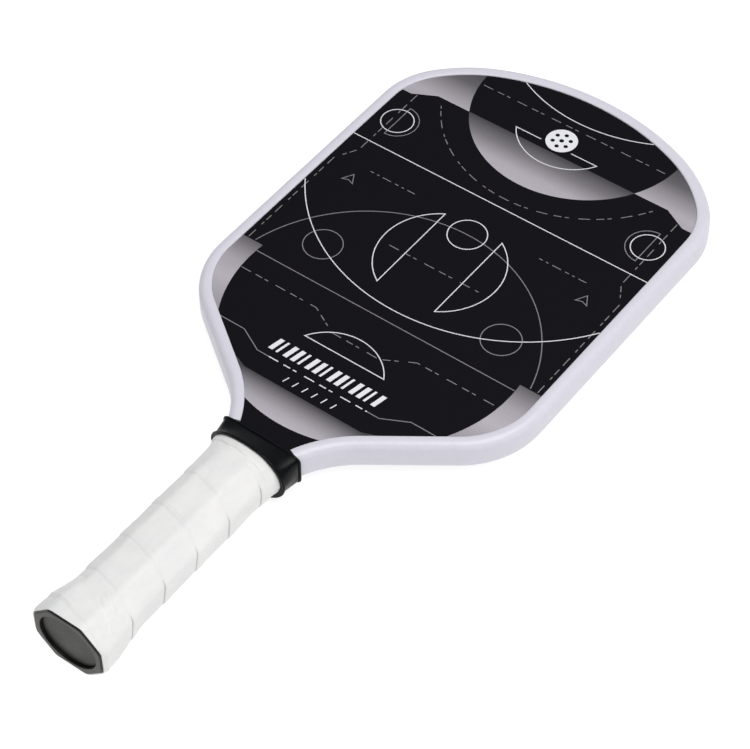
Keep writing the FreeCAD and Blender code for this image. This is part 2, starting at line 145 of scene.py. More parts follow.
# power of the rounded octagon: high where its corners are crisp, low where they are soft, and where
# the one changes to the other, in millimetres from the butt
CRISP_CORNERS = 26.0
SOFT_CORNERS = 7.0
SOFTEN_FROM = 98
SOFTEN_RUN = 24

# overlapping strips of the wrap: their edges lie flat above and below, and gape at the sides, where
# the grooves, in millimetres, are deeper and the slits get a darker painted shadow; every seam gets a
# faint painted shade
WRAP_PITCH = 22.5 * MM
WRAP_SEAM_AT = 73.0 * MM
WRAP_STEP = 0.32 * MM
SEAM_WANDER = 0.02
FLAT_EDGE_RUN = 1.3 * MM
SIDE_EDGE_RUN = 0.5 * MM
FLAT_GROOVE = 0.06
SIDE_GROOVE = 0.6
GROOVE_RUN = 0.5 * MM
SWELL = 0.2 * MM
SWELL_AT = 3.4 * MM
SWELL_RUN = 2.2 * MM
SLIT_RUN = 0.24 * MM
SLIT_SHADE = 0.62
SEAM_SHADE = 0.06

# dents of the wrap, in millimetres: deeper near the butt, and small ones all along
SLACK_AT_BUTT = 0.32
SLACK = 0.2
SMALL_DENTS = 0.05

# depths under the plain handle, in millimetres: the wrap's inner skin at the butt and further up, and
# the wrap's outside in the collar, with the run over which it tucks in; elsewhere it rises a little
INNER_AT_BUTT = 0.62
INNER_DEPTH = 1.5
TUCK = 0.6
TUCK_RUN = 1.2
BARE_RISE = 0.03

# rubber collar, in millimetres: distances of its ends from the butt, its body's half width and half
# height there, its end beads, how far it sits askew and waves, and the shape of its body
COLLAR_LOW = 124.4
COLLAR_HIGH = 136.3
COLLAR_LOW_SIZE = (22.75, 14.0)
COLLAR_HIGH_SIZE = (22.15, 8.95)
COLLAR_BEAD = 0.6
COLLAR_BEAD_LIFT = 0.2
COLLAR_SKEW = 2.0
COLLAR_TWIST = 0.75
COLLAR_OVAL_POWER = 8.0
COLLAR_BOX_POWER = 7
COLLAR_WAIST = 0.05
COLLAR_BODY_LIFT = 0.03

# the collar's section starts and stops changing this far inside its ends; its blade end keeps only
# this share of the shift
COLLAR_CHANGE = (0.8, 0.6)
COLLAR_SHIFT_LEFT = 0.2

# inside corners of the collar, in millimetres: (distance from its end, depth under its body)
COLLAR_HIGH_INSIDE = (0.3, 1.9)
COLLAR_LOW_INSIDE = (0.4, 1.7)

# butt cap's octagons, from the skirt's top inside the wrap to the flat rim:
# half width, half height, distance inside the butt, power of the corners
CAP_OCTAGONS = (
    (13.95, 11.4, 20.0, 30), (16.3, 13.8, 20.0, 30), (18.4, 15.6, 5.0, 30), (19.35, 16.55, 1.0, 40),
    (19.4, 16.6, 0.75, 40), (19.0, 16.2, 0.25, 40), (18.55, 15.75, 0.02, 40), (18.3, 15.5, 0.0, 40),
)

# ovals of its recess, then of the plate in it: half width, half height, distance inside the butt
CAP_OVALS = ((16.35, 14.35, 0.0), (16.1, 14.1, 0.2), (16.0, 14.0, 2.7), (13.2, 10.8, 2.7))
PLATE_EDGE = ((15.9, 13.9, 2.6), (15.9, 13.9, 1.95), (15.6, 13.6, 1.75))
PLATE_TOP = 1.72

# bands of the cap, between its rings, that get the near-black polished material: the bevel, dark and
# polished in its own right, and the recess's wall, where the near-black colour is painted shade
CAP_GLOSSY_BANDS = (2, 3, 4, 5, 6, 9)

# small folds of the wrap: two ends, as (turn in degrees, distance from the butt), height and width
WRAP_FOLDS = (
    ((21, 53.1), (49, 49.3), 0.3, 0.5),
    ((13, 18.5), (56, 10.3), -0.5, 1.3),
    ((-30, 21.0), (35, 13.5), -0.45, 2.0),
    ((20, 22.0), (58, 16.5), 0.35, 1.0),
    ((-62, 27.0), (-34, 24.5), -0.35, 0.9),
    ((-70, 12.5), (-10, 8.5), 0.3, 0.9),
    ((-20, 121.9), (66, 116.5), 0.5, 0.65),
    ((-45, 120.7), (40, 118.7), -0.5, 0.9),
    ((-70, 122.9), (-20, 121.0), 0.3, 0.6),
    ((24, 10.0), (86, 2.2), 0.22, 0.45),
    ((30, 113.0), (60, 110.8), -0.25, 0.6),
    ((-20, 77.0), (22, 74.6), 0.25, 0.6),
    ((20, 68.4), (48, 65.0), 0.2, 0.7),
)

# stage: fitted camera in millimetres, floor and lights
CAMERA_PLACE = (506.98, -651.02, 923.05)
CAMERA_FORWARD = (-0.400812, 0.524463, -0.751191)
CAMERA_UP = (-0.445294, 0.605047, 0.660024)
CAMERA_LENS = 125.12
SENSOR_WIDTH = 36
FLOOR_SIZE = 12
FLOOR_GAP = 0.15 * MM
FLOOR_GLOW = 0.84
SKY_GLOW = 0.27


# ---------- small helpers


def unit(angle):
    """Direction in the XY plane at an angle from +X."""
    return Vector((math.cos(angle), math.sin(angle)))


def clamp(x):
    """x held between 0 and 1."""
    return min(1.0, max(0.0, x))


def smooth(x):
    """Eased step from 0 to 1 while x goes from 0 to 1."""
    x = clamp(x)
    return x * x * (3 - 2 * x)


def lerp(a, b, t):
    """Value between a and b, at share t of the way."""
    return a + (b - a) * t


def bell(x):
    """Round hump: 1 at 0, and close to 0 beyond 2 on either side."""
    return math.exp(-x * x)


def turns_round(count):
    """Evenly spaced angles round the handle's axis, from the front towards +X."""
    return [2 * math.pi * k / count for k in range(count)]


def object_from(name, verts, faces, material, smooth_faces=False):
    """Mesh object that rides on the paddle's one body, its normals turned outwards."""
    mesh = bpy.data.meshes.new(name)
    mesh.from_pydata([tuple(v) for v in verts], [], faces)
    mesh.validate()
    work = bmesh.new()
    work.from_mesh(mesh)
    bmesh.ops.recalc_face_normals(work, faces=work.faces)
    for face in work.faces:
        face.smooth = smooth_faces
    work.to_mesh(mesh)
    work.free()
    mesh.materials.append(material)
    piece = bpy.data.objects.new(name, mesh)
    bpy.context.scene.collection.objects.link(piece)
    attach(piece, "root")
    return piece


def crease_sharp(piece, degrees):
    """Keeps edges sharper than this angle crisp while the rest shades smooth."""
    work = bmesh.new()
    work.from_mesh(piece.data)
    limit = math.radians(degrees)
    for edge in work.edges:
        edge.smooth = not (len(edge.link_faces) == 2 and edge.calc_face_angle(0.0) > limit)
    work.to_mesh(piece.data)
    work.free()


def grid_faces(rows, columns, close_rows=False):
    """Quads between closed rows of points, each row having the same number of columns."""
    faces = []
    for i in range(rows if close_rows else rows - 1):
        below = (i + 1) % rows
        for j in range(columns):
            right = (j + 1) % columns
            upper = (i * columns + j, i * columns + right)
            lower = (below * columns + right, below * columns + j)
            faces.append(upper + lower)
    return faces


# ---------- materials


def new_material(name, colour, roughness, specular=0.5):
    """Plain material; returns it with its node tree and its main shader."""
    material = bpy.data.materials.new(name)
    material.use_nodes = True
    shader = material.node_tree.nodes["Principled BSDF"]
    shader.inputs["Base Color"].default_value = (*colour, 1)
    shader.inputs["Roughness"].default_value = roughness
    shader.inputs["Specular IOR Level"].default_value = specular
    return material, material.node_tree, shader


def noise_node(tree, scale, detail=3.0, roughness=0.5, stretch=(1, 1, 1)):
    """Noise on object coordinates, in metres, so that its scale means cycles per metre."""
    place = tree.nodes.new("ShaderNodeTexCoord")
    squeeze = tree.nodes.new("ShaderNodeMapping")
    squeeze.inputs["Scale"].default_value = stretch
    tree.links.new(place.outputs["Object"], squeeze.inputs["Vector"])
    texture = tree.nodes.new("ShaderNodeTexNoise")
    texture.inputs["Scale"].default_value = scale
    texture.inputs["Detail"].default_value = detail
    texture.inputs["Roughness"].default_value = roughness
    tree.links.new(squeeze.outputs["Vector"], texture.inputs["Vector"])
    return texture.outputs["Fac"]


def ramp(tree, source, stops):
    """Colour ramp; stops are (position, colour) pairs."""
    node = tree.nodes.new("ShaderNodeValToRGB")
    elements = node.color_ramp.elements
    while len(elements) < len(stops):
        elements.new(0.5)
    for element, (position, colour) in zip(elements, stops):
        element.position = position
        element.color = (*colour, 1)
    tree.links.new(source, node.inputs["Fac"])
    return node.outputs["Color"]


def grey(value):
    """Neutral colour of one brightness."""
    return (value, value, value)


def bump(tree, shader, height, strength, distance):
    """Lets a height texture tilt the shader's normals."""
    node = tree.nodes.new("ShaderNodeBump")
    node.inputs["Strength"].default_value = strength
    node.inputs["Distance"].default_value = distance
    tree.links.new(height, node.inputs["Height"])
    tree.links.new(node.outputs["Normal"], shader.inputs["Normal"])


def blend_rgb(tree, first, second, factor, mode="MIX"):
    """Mixes two colours; a mix node has its colours in sockets 6 and 7, and the result in output 2."""
    node = tree.nodes.new("ShaderNodeMix")
    node.data_type = "RGBA"
    node.blend_type = mode
    if isinstance(factor, float):
        node.inputs[0].default_value = factor
    else:
        tree.links.new(factor, node.inputs[0])
    tree.links.new(first, node.inputs[6])
    tree.links.new(second, node.inputs[7])
    return node.outputs[2]


def grained(name, dark, light, roughness, grain, strength, distance, specular=0.5, spread=0.06):
    """General moulded or printed surface: a faint two-tone mottle, uneven gloss and a fine bump.

    The grain is in cycles per metre, strength and distance are the bump's, and spread is the gloss's.
    """
    material, tree, shader = new_material(name, light, roughness, specular)
    mottle = noise_node(tree, grain, 4.0, 0.6)
    tree.links.new(ramp(tree, mottle, [(0.3, dark), (0.7, light)]), shader.inputs["Base Color"])
    patches = noise_node(tree, grain / 14, 3.0)
    gloss = [(0.3, grey(roughness - spread)), (0.7, grey(roughness + spread))]
    tree.links.new(ramp(tree, patches, gloss), shader.inputs["Roughness"])
    bump(tree, shader, noise_node(tree, grain * 2.2, 3.0), strength, distance)
    return material


def silver_material(name, stops):
    """Silver ink that fades by height up the blade, with the speckle of its print screen.

    Stops are (millimetres above the art's centre, brightness).
    """
    material, tree, shader = new_material(name, grey(0.4), 0.55, 0.2)
    place = tree.nodes.new("ShaderNodeTexCoord")
    split = tree.nodes.new("ShaderNodeSeparateXYZ")
    tree.links.new(place.outputs["Object"], split.inputs["Vector"])
    height = tree.nodes.new("ShaderNodeMapRange")
    height.inputs["From Min"].default_value = SILVER_LOWEST
    height.inputs["From Max"].default_value = SILVER_HIGHEST
    tree.links.new(split.outputs["Y"], height.inputs["Value"])

    tones = []
    for distance, brightness in stops:
        share = (ART_CENTRE + distance * MM - SILVER_LOWEST) / (SILVER_HIGHEST - SILVER_LOWEST)
        tones.append((share, (brightness, brightness * 0.94, brightness * 1.04)))
    fade = ramp(tree, height.outputs["Result"], tones)
    speckle = ramp(tree, noise_node(tree, 5200, 2.0, 0.7), [(0.25, grey(0.70)), (0.75, grey(1.0))])
    tree.links.new(blend_rgb(tree, fade, speckle, 1.0, "MULTIPLY"), shader.inputs["Base Color"])
    bump(tree, shader, noise_node(tree, 3200, 2.0), 0.25, 0.05 * MM)
    return material


def wrap_material():
    """White cushioned synthetic: soft sheen, faint warm and cool patches, tacky micro-grain, faint
    painted shade in crease-like streaks, and a painted shadow along the seams between its strips.
    """
    material, tree, shader = new_material("white_wrap", (0.8, 0.8, 0.79), 0.5, 0.22)
    cool_and_warm = [(0.3, (0.765, 0.768, 0.77)), (0.7, (0.815, 0.81, 0.8))]
    patches = ramp(tree, noise_node(tree, 55, 3.0), cool_and_warm)
    # painted shade: faint darker streaks of stretched noise standing in for the shade in fine creases
    # of the wrap
    crease_noise = noise_node(tree, 260, 5.0, 0.65, (1, 0.35, 1))
    creases = ramp(tree, crease_noise, [(0.25, grey(0.955)), (0.55, grey(1.0))])
    # painted shadow: a dark colour mixed in by the seam_shade attribute, standing in for the shade
    # inside the open seams between strips
    soiled = tree.nodes.new("ShaderNodeRGB")
    soiled.outputs[0].default_value = (0.10, 0.09, 0.06, 1)
    seam = tree.nodes.new("ShaderNodeAttribute")
    seam.attribute_name = "seam_shade"
    clean = blend_rgb(tree, patches, creases, 1.0, "MULTIPLY")
    skin = blend_rgb(tree, clean, soiled.outputs[0], seam.outputs["Fac"])
    tree.links.new(skin, shader.inputs["Base Color"])
    gloss = noise_node(tree, 120, 3.0)
    tree.links.new(ramp(tree, gloss, [(0.3, grey(0.42)), (0.7, grey(0.6))]), shader.inputs["Roughness"])
    bump(tree, shader, noise_node(tree, 1500, 4.0, 0.6), 0.18, 0.12 * MM)
    shader.inputs["Sheen Weight"].default_value = 0.15
    shader.inputs["Sheen Roughness"].default_value = 0.5
    return material


# fades of the silver areas: beside and under the lower field, beside the big circle, and inside it
SILVER_LOW = (
    (-150, 0.55), (-144, 0.44), (-132, 0.05), (-112, 0.34), (-92, 0.53), (-80, 0.43), (-65, 0.13),
)
SILVER_HIGH = ((66, 0.46), (72, 0.49), (82, 0.30), (90, 0.14), (100, 0.08))
SILVER_BOWL = ((44, 0.52), (52, 0.48), (62, 0.23), (72, 0.07))

MATERIALS = {
    "film": grained("matt_black_print", (0.0058, 0.0053, 0.0072), (0.0094, 0.0087, 0.0112),
        0.68, 2600, 0.3, 0.06 * MM, 0.02),
    "white_ink": grained("white_ink", (0.64, 0.65, 0.67), (0.76, 0.77, 0.79),
        0.5, 2400, 0.2, 0.03 * MM),
    "grey_ink": grained("grey_ink", (0.17, 0.165, 0.175), (0.25, 0.24, 0.255),
        0.5, 2400, 0.2, 0.03 * MM),
    "mark_ink": grained("mark_ink", (0.72, 0.72, 0.75), (0.84, 0.84, 0.87), 0.48, 2400, 0.2, 0.03 * MM),
    "silver_low": silver_material("silver_fade_low", SILVER_LOW),
    "silver_high": silver_material("silver_fade_high", SILVER_HIGH),
    "silver_bowl": silver_material("silver_fade_bowl", SILVER_BOWL),
    "guard": grained("lavender_guard", (0.655, 0.645, 0.723), (0.68, 0.67, 0.748),
        0.36, 420, 0.08, 0.08 * MM, 0.45, 0.05),
    "wrap": wrap_material(),
    "collar": grained("black_rubber", (0.0028, 0.0032, 0.0038), (0.005, 0.0056, 0.0065),
        0.27, 700, 0.2, 0.08 * MM, 0.1, 0.07),
    "cap": grained("dark_cap_plastic", (0.058, 0.056, 0.051), (0.072, 0.069, 0.064),
        0.42, 900, 0.2, 0.06 * MM, 0.3),
    # near-black polished material: the bevel's own colour, and on the recess's wall a painted shade
    "rim_and_wall_shade": grained("dark_cap_rim_and_painted_wall_shade", grey(0.008), (0.013, 0.013, 0.012),
        0.3, 900, 0.1, 0.03 * MM, 0.3, 0.05),
    "plate": grained("dark_end_plate", (0.027, 0.026, 0.023), (0.037, 0.036, 0.031),
        0.36, 1200, 0.2, 0.05 * MM, 0.22, 0.07),
    "carbon": grained("carbon_sheet", (0.01, 0.01, 0.012), (0.03, 0.03, 0.034),
        0.4, 1800, 0.3, 0.05 * MM),
    "core": grained("core_plastic", (0.62, 0.63, 0.6), (0.72, 0.73, 0.7), 0.45, 300, 0.15, 0.1 * MM),
    "foam": grained("foam", (0.6, 0.55, 0.4), (0.72, 0.66, 0.5), 0.8, 900, 0.6, 0.3 * MM, 0.2),
    "adhesive": grained("adhesive_film", (0.42, 0.38, 0.25), (0.5, 0.46, 0.32),
        0.3, 500, 0.2, 0.05 * MM),
    "tape": grained("tape", (0.55, 0.55, 0.5), (0.66, 0.66, 0.6), 0.6, 1500, 0.3, 0.05 * MM),
    "shell": grained("handle_shell", grey(0.02), grey(0.035), 0.55, 700, 0.3, 0.1 * MM),
    "steel": grained("staple_steel", grey(0.4), grey(0.55), 0.3, 900, 0.2, 0.02 * MM),
}
MATERIALS["steel"].node_tree.nodes["Principled BSDF"].inputs["Metallic"].default_value = 1.0

NODES_BY_MATERIAL = {
    "core": ["honeycomb_core"],
    "foam": ["edge_foam"],
    "adhesive": ["front_core_bond", "rear_core_bond", "end_plate_bond"],
    "carbon": ["front_face_sheet", "rear_face_sheet"],
    "film": ["front_printed_film", "rear_printed_film"],
    "tape": ["edge_guard_tape", "grip_underlay_tape"],
    "shell": ["front_handle_shell", "rear_handle_shell"],
    "steel": ["butt_cap_staples"],
}


def paint_cad_nodes():
    """Gives the shown CAD nodes their materials; the redrawn ones have theirs on their new pieces."""
    for material, names in NODES_BY_MATERIAL.items():
        for name in names:
            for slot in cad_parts[name].material_slots:
                slot.material = MATERIALS[material]


# ---------- blade outline


def arc_samples(centre, radius, start, stop, sign=1):
    """Points and outward directions along an arc; sign is -1 where the centre lies outside."""
    count = max(2, round(abs(stop - start) * radius / OUTLINE_STEP))
    samples = []
    for k in range(count + 1):
        direction = unit(lerp(start, stop, k / count))
        samples.append((centre + direction * radius, direction * sign))
    return samples


def outline_samples():
    """Right half of the guard's outside, from the tip to the neck, as (point, outward direction)."""
    tip_end = math.pi / 2 - TIP_HALF_ANGLE
    tip_centre = Vector((0, HALF_LENGTH - TIP_RADIUS))
    crown_centre = tip_centre + unit(tip_end) * (TIP_RADIUS - CROWN_RADIUS)
    corner_radius = HALF_WIDTH - crown_centre.x - CROWN_RADIUS * math.cos(CROWN_END)
    corner_radius /= 1 - math.cos(CROWN_END)
    corner_centre = crown_centre + unit(CROWN_END) * (CROWN_RADIUS - corner_radius)
    hip_centre = Vector((HALF_WIDTH - HIP_RADIUS, HIP_CENTRE - HALF_LENGTH))
    outward = unit(-HIP_TURN)
    downhill = Vector((-math.sin(HIP_TURN), -math.cos(HIP_TURN)))
    neck_centre = hip_centre + outward * (HIP_RADIUS + NECK_RADIUS) + downhill * SHOULDER_RUN
    neck_stop = math.asin((NECK_END - neck_centre.y) / NECK_RADIUS)

    samples = arc_samples(tip_centre, TIP_RADIUS, math.pi / 2, tip_end)
    samples += arc_samples(crown_centre, CROWN_RADIUS, tip_end, CROWN_END)[1:]
    samples += arc_samples(corner_centre, corner_radius, CROWN_END, 0)[1:]
    side = round((corner_centre.y - hip_centre.y) / (2 * OUTLINE_STEP))
    for k in range(1, side):
        y = lerp(corner_centre.y, hip_centre.y, k / side)
        samples.append((Vector((HALF_WIDTH, y)), Vector((1, 0))))
    samples += arc_samples(hip_centre, HIP_RADIUS, 0, -HIP_TURN)
    run = round(SHOULDER_RUN / (2 * OUTLINE_STEP))
    foot = samples[-1][0]
    for k in range(1, run):
        samples.append((foot + downhill * (SHOULDER_RUN * k / run), outward))
    samples += arc_samples(neck_centre, NECK_RADIUS, math.pi - HIP_TURN, math.pi - neck_stop, -1)
    return samples


def whole_outline():
    """The outline from the left side of the neck over the tip to the right side."""
    right = outline_samples()
    left = [(Vector((-p.x, p.y)), Vector((-n.x, n.y))) for p, n in right[:0:-1]]
    return left + right


# ---------- edge guard


def lip_width(y):
    """Width of the guard's lip on the face, a little wider round the tip."""
    return GUARD_LIP + LIP_GAIN * smooth((y - LIP_GAIN_FROM) / LIP_GAIN_RUN)


def guard_section(y):
    """Closed cross-section of the channel, as (inset from the outside, height), from the lip's edge."""
    top = GUARD_HALF_HEIGHT / MM
    lip = lip_width(y) / MM
    face = FACE / MM
    upper = [(lip - back, face + rise) for back, rise in LIP_EDGE]
    upper += [(lip - LIP_SLOPE_END, top - 0.1), (GUARD_FLAT_START, top - 0.02)]
    for k in range(9):
        angle = math.radians(90 - 90 * k / 8)
        drop = GUARD_CORNER * (1 - math.sin(angle))
        upper.append((GUARD_CORNER * (1 - math.cos(angle)), top - drop))
    lower = [(inset, -height) for inset, height in reversed(upper)]
    channel = [(GUARD_WALL, -face), (GUARD_WALL, face)]
    return [(inset * MM, height * MM) for inset, height in upper + lower + channel]


def make_edge_guard():
    """Channel swept along the whole outline and closed at its two ends."""
    path = whole_outline()
    verts = []
    for point, outward in path:
        section = guard_section(point.y)
        for inset, height in section:
            spot = point - outward * inset
            verts.append(Vector((spot.x, max(spot.y, NECK_END), height)))
    faces = grid_faces(len(path), len(section))
    count = len(section)
    faces.append(tuple(range(count)))
    faces.append(tuple((len(path) - 1) * count + k for k in range(count)))
    guard = object_from("soft_edge_guard", verts, faces, MATERIALS["guard"], True)
    crease_sharp(guard, 40)
    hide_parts("edge_guard")


# ---------- printed graphic


class Ink:
    """Collects flat printed shapes, as thin closed slabs on one face, into one object."""

    def __init__(self, side, level):
        self.side = side
        self.low = FACE - INK_ROOT
        self.high = FACE + level
        self.verts = []
        self.faces = []

    def lift(self, point, z):
        """Point on this side's face; the rear is the front turned about the paddle's length."""
        return Vector((point[0] * self.side, point[1], z * self.side))

    def slab(self, loop, triangles):
        """A thin prism on the given outline."""
        start = len(self.verts)
        count = len(loop)
        for z in (self.high, self.low):
            self.verts += [self.lift(point, z) for point in loop]
        for triangle in triangles:
            self.faces.append(tuple(start + k for k in triangle))
            self.faces.append(tuple(start + count + k for k in reversed(triangle)))
        for k in range(count):
            following = (k + 1) % count
            upper = (start + k, start + following)
            lower = (start + count + following, start + count + k)
            self.faces.append(upper + lower)

    def area(self, points):
        """Filled outline; points in millimetres from the art's centre."""
        loop = [Vector((x * MM, y * MM + ART_CENTRE)) for x, y in points]
        triangles = tessellate_polygon([[Vector((p.x, p.y, 0)) for p in loop]])
        self.slab(loop, triangles)

    def stroke(self, points, width, closed=False):
        """Line of even width along points in millimetres, mitred at its corners."""
        line = [Vector(p) for p in points]
        count = len(line)
        half = width / MM / 2
        sides = []
        for k, point in enumerate(line):
            before = line[k - 1] if k or closed else None
            after = line[(k + 1) % count] if k + 1 < count or closed else None
            directions = []
            if before is not None:
                directions.append((point - before).normalized())
            if after is not None:
                directions.append((after - point).normalized())
            normals = [Vector((-d.y, d.x)) for d in directions]
            mitre = sum(normals, Vector((0, 0))).normalized()
            reach = half / max(MITRE_LIMIT, mitre.dot(normals[0]))
            sides.append((point + mitre * reach, point - mitre * reach))
        start = len(self.verts)
        for left, right in sides:
            for spot in (left, right):
                flat = (spot.x * MM, spot.y * MM + ART_CENTRE)
                self.verts += [self.lift(flat, self.high), self.lift(flat, self.low)]
        for k in range(count if closed else count - 1):
            a = start + 4 * k
            b = start + 4 * ((k + 1) % count)
            self.faces += [(a, b, b + 2, a + 2), (a + 1, a + 3, b + 3, b + 1)]
            self.faces += [(a, a + 1, b + 1, b), (a + 2, b + 2, b + 3, a + 3)]
        if not closed:
            last = start + 4 * (count - 1)
            self.faces.append((start, start + 2, start + 3, start + 1))
            self.faces.append((last, last + 1, last + 3, last + 2))

    def dashes(self, points, width, pattern=DASHES, offset=0.0):
        """Dashed line along points: the pattern alternates drawn and open lengths."""
        lengths = [0.0]
        for first, second in zip(points, points[1:]):
            lengths.append(lengths[-1] + (Vector(second) - Vector(first)).length)
        at = -offset
        step = 0
        while at < lengths[-1]:
            end = at + pattern[step % len(pattern)]
            if step % 2 == 0 and end > 0:
                piece = between(points, lengths, max(0.0, at), min(end, lengths[-1]))
                if len(piece) > 1:
                    self.stroke(piece, width)
            at = end
            step += 1

    def finish(self, name, material):
        """One object out of everything drawn so far."""
        piece = object_from(name, self.verts, self.faces, MATERIALS[material])


def between(points, lengths, start, end):
    """The stretch of a polyline between two distances along it, or nothing where it is too short."""
    if end - start < SHORTEST_DASH:
        return []
    inside = [Vector(p) for p, d in zip(points, lengths) if start + 0.05 < d < end - 0.05]
    return [along(points, lengths, start)] + inside + [along(points, lengths, end)]


def along(points, lengths, distance):
    """Point at a distance along a polyline."""
    for k in range(len(points) - 1):
        if distance <= lengths[k + 1] or k == len(points) - 2:
            part = (distance - lengths[k]) / max(1e-9, lengths[k + 1] - lengths[k])
            return Vector(points[k]).lerp(Vector(points[k + 1]), part)


def arc_points(centre, radius, start, stop, step=1.5):
    """Arc in millimetres from start to stop, in degrees."""
    count = max(8, round(abs(math.radians(stop - start)) * radius / step))
    turns = [math.radians(lerp(start, stop, k / count)) for k in range(count + 1)]
    return [(centre[0] + radius * math.cos(a), centre[1] + radius * math.sin(a)) for a in turns]


def ring(centre, radius, step=1.5):
    """Full circle in millimetres, without its repeated last point."""
    return arc_points(centre, radius, 0, 360, step)[:-1]


def bow(height, radius, half_chord, facing):
    """Arc centred on the middle line, given by half its chord; facing is its direction in degrees."""
    reach = math.degrees(math.asin(half_chord / radius))
    return arc_points((0, height), radius, facing - reach, facing + reach)


def half_moon(height, radius, chord, facing):
    """Arc centred on the middle line, beyond a chord at this distance from its centre."""
    reach = math.degrees(math.acos(chord / radius))
    return arc_points((0, height), radius, facing - reach, facing + reach)


def mirrored(points):
    """The same points on the other side of the middle line."""
    return [(-x, y) for x, y in points]


def face_edge():
    """Right half of the visible face's edge, just inside the guard's lip, in art millimetres."""
    edge = []
    for point, outward in outline_samples():
        spot = point - outward * (lip_width(point.y) + 0.05 * MM)
        edge.append((spot.x / MM, (spot.y - ART_CENTRE) / MM))
    return edge


def edge_x(height):
    """Half width of the visible face at a height."""
    edge = FACE_EDGE
    for (x0, y0), (x1, y1) in zip(edge, edge[1:]):
        if y1 <= height <= y0:
            return lerp(x0, x1, (y0 - height) / max(1e-9, y0 - y1))
    return edge[-1][0]


def edge_between(high, low):
    """Face edge points between two heights, from the higher to the lower."""
    inner = [(x, y) for x, y in FACE_EDGE if low < y < high]
    return [(edge_x(high), high)] + inner + [(edge_x(low), low)]


FACE_EDGE = face_edge()


def circle_x(circle, y):
    """Half width of a shared circle at a height."""
    return math.sqrt(max(0.0, circle[1] ** 2 - (y - circle[0]) ** 2))


def circle_meets_edge(circle, low, high):
    """Height between low and high at which the circle crosses the face's edge."""
    def gap(y):
        return circle_x(circle, y) - edge_x(y)
    sign = gap(low) > 0
    for _ in range(40):
        middle = (low + high) / 2
        if (gap(middle) > 0) == sign:
            low = middle
        else:
            high = middle
    return (low + high) / 2


def circle_run(circle, start, stop, count=40):
    """Right-hand points of a circle between two heights."""
    first = math.asin((start - circle[0]) / circle[1])
    last = math.asin((stop - circle[0]) / circle[1])
    turns = [lerp(first, last, k / count) for k in range(count + 1)]
    return [(circle[1] * math.cos(a), circle[0] + circle[1] * math.sin(a)) for a in turns]


def bowl_area():
    """Part of the big circle below the horizon."""
    right = circle_run(SUN, HORIZON, SUN[0] - SUN[1] + 0.001)
    return right + mirrored(reversed(right[:-1]))


def sky_area():
    """Right-hand sky beside the big circle, up to where the circle meets the face's edge."""
    crossing = circle_meets_edge(SUN, 92, 112) - 0.05
    sky = edge_between(crossing, SKY_FOOT)
    sky += [(82.5, SKY_FOOT), (70.0, HORIZON), (circle_x(SUN, HORIZON), HORIZON)]
    return sky + circle_run(SUN, HORIZON, crossing)[1:-1]


def field_side_area():
    """Right-hand panel beside the lower field."""
    shore = circle_meets_edge(BOWL, -118, -105) + 0.05
    return edge_between(FIELD_TOP, shore) + circle_run(BOWL, shore, FIELD_TOP)[1:]


def throat_area():
    """Panel between the lower field and the collar, across both halves."""
    shore = circle_meets_edge(BOWL, -149, -134) + 0.05
    right = [(34.2, THROAT_NOTCH), (min(41.7, edge_x(THROAT_TOP)), THROAT_TOP)]
    right += edge_between(THROAT_TOP, shore)[1:]
    right += circle_run(BOWL, shore, BOWL[0] - BOWL[1] + 0.001)[1:]
    return right + mirrored(reversed(right[:-1]))


def silver_panels(side, prefix):
    """Silver areas, by the fade that each one has."""
    sky, field_side = sky_area(), field_side_area()
    areas = {
        "low": [field_side, mirrored(field_side), throat_area()],
        "high": [sky, mirrored(sky)],
        "bowl": [bowl_area()],
    }
    for fade, shapes in areas.items():
        ink = Ink(side, INK * 0.5)
        for shape in shapes:
            ink.area(shape)
        ink.finish(prefix + "_silver_" + fade, "silver_" + fade)


def white_lines(side, prefix):
    """Main court lines: circles, wide arcs and half-moons."""
    ink = Ink(side, INK)
    full = WHITE_LINE
    ink.stroke(ring((0, 0), 10.0), full, closed=True)
    for sign in (1, -1):
        ink.stroke(ring((sign * POST[0], POST[1]), POST_RADIUS), full, closed=True)
    ink.stroke([(-edge_x(25.0), 25.0), (edge_x(25.0), 25.0)], full)
    # wide arcs: one under the tip, one across the middle
    ink.stroke(bow(183.2, 84.9, 39.2, -90), full)
    ink.stroke(bow(45.4, 107.5, 88.3, -90), full)
    # facing half-moons, then the one under the lower dashes
    for turn in (0, 180):
        ink.stroke(half_moon(-22.9, 32.95, 17.1, turn), full, closed=True)
    ink.stroke(half_moon(-113.8, 27.1, 13.8, 90), full, closed=True)
    # half-moon behind the ball, its chord broken by the ball
    ink.stroke([(-9.2, 77.5)] + half_moon(91.8, 28.4, 14.3, -90) + [(9.2, 77.5)], full)
    # throat dashes
    ink.dashes([(-29.0, SERVE_LINE), (29.0, SERVE_LINE)], full * 1.15)
    ink.finish(prefix + "_white_lines", "white_ink")


def grey_lines(side, prefix):
    """Fainter solid lines, and the two arrow heads."""
    ink = Ink(side, INK * 0.8)
    thin = GREY_LINE
    for sign in (1, -1):
        ink.stroke(ring((sign * SPOT[0], SPOT[1]), SPOT_RADIUS), thin, closed=True)
        turn = 180 if sign > 0 else 0
        post = (sign * POST[0], POST[1])
        ink.stroke(arc_points(post, POST_OUTER_RADIUS, turn - 90, turn + 90), thin, closed=True)
        ink.stroke(delta(sign * 70.3, -2.6), thin * 0.9, closed=True)
        ink.stroke([(sign * 49.2, WING_LINE), (sign * edge_x(WING_LINE), WING_LINE)], thin)
        wing = [(sign * 49.2, WING_LINE), (sign * 35.8, SERVE_LINE), (sign * 29.2, SERVE_LINE)]
        ink.stroke(wing, thin)
    ink.stroke(bow(-84.1, 84.1, 81.7, 90), thin)
    ink.stroke([(-76.7, -69.6), (76.7, -69.6)], thin)
    ink.finish(prefix + "_grey_lines", "grey_ink")


def delta(x, y):
    """Small arrow head that points towards the tip."""
    return [(x, y + 3.4), (x - 3.3, y - 2.4), (x, y - 1.2), (x + 3.3, y - 2.4)]


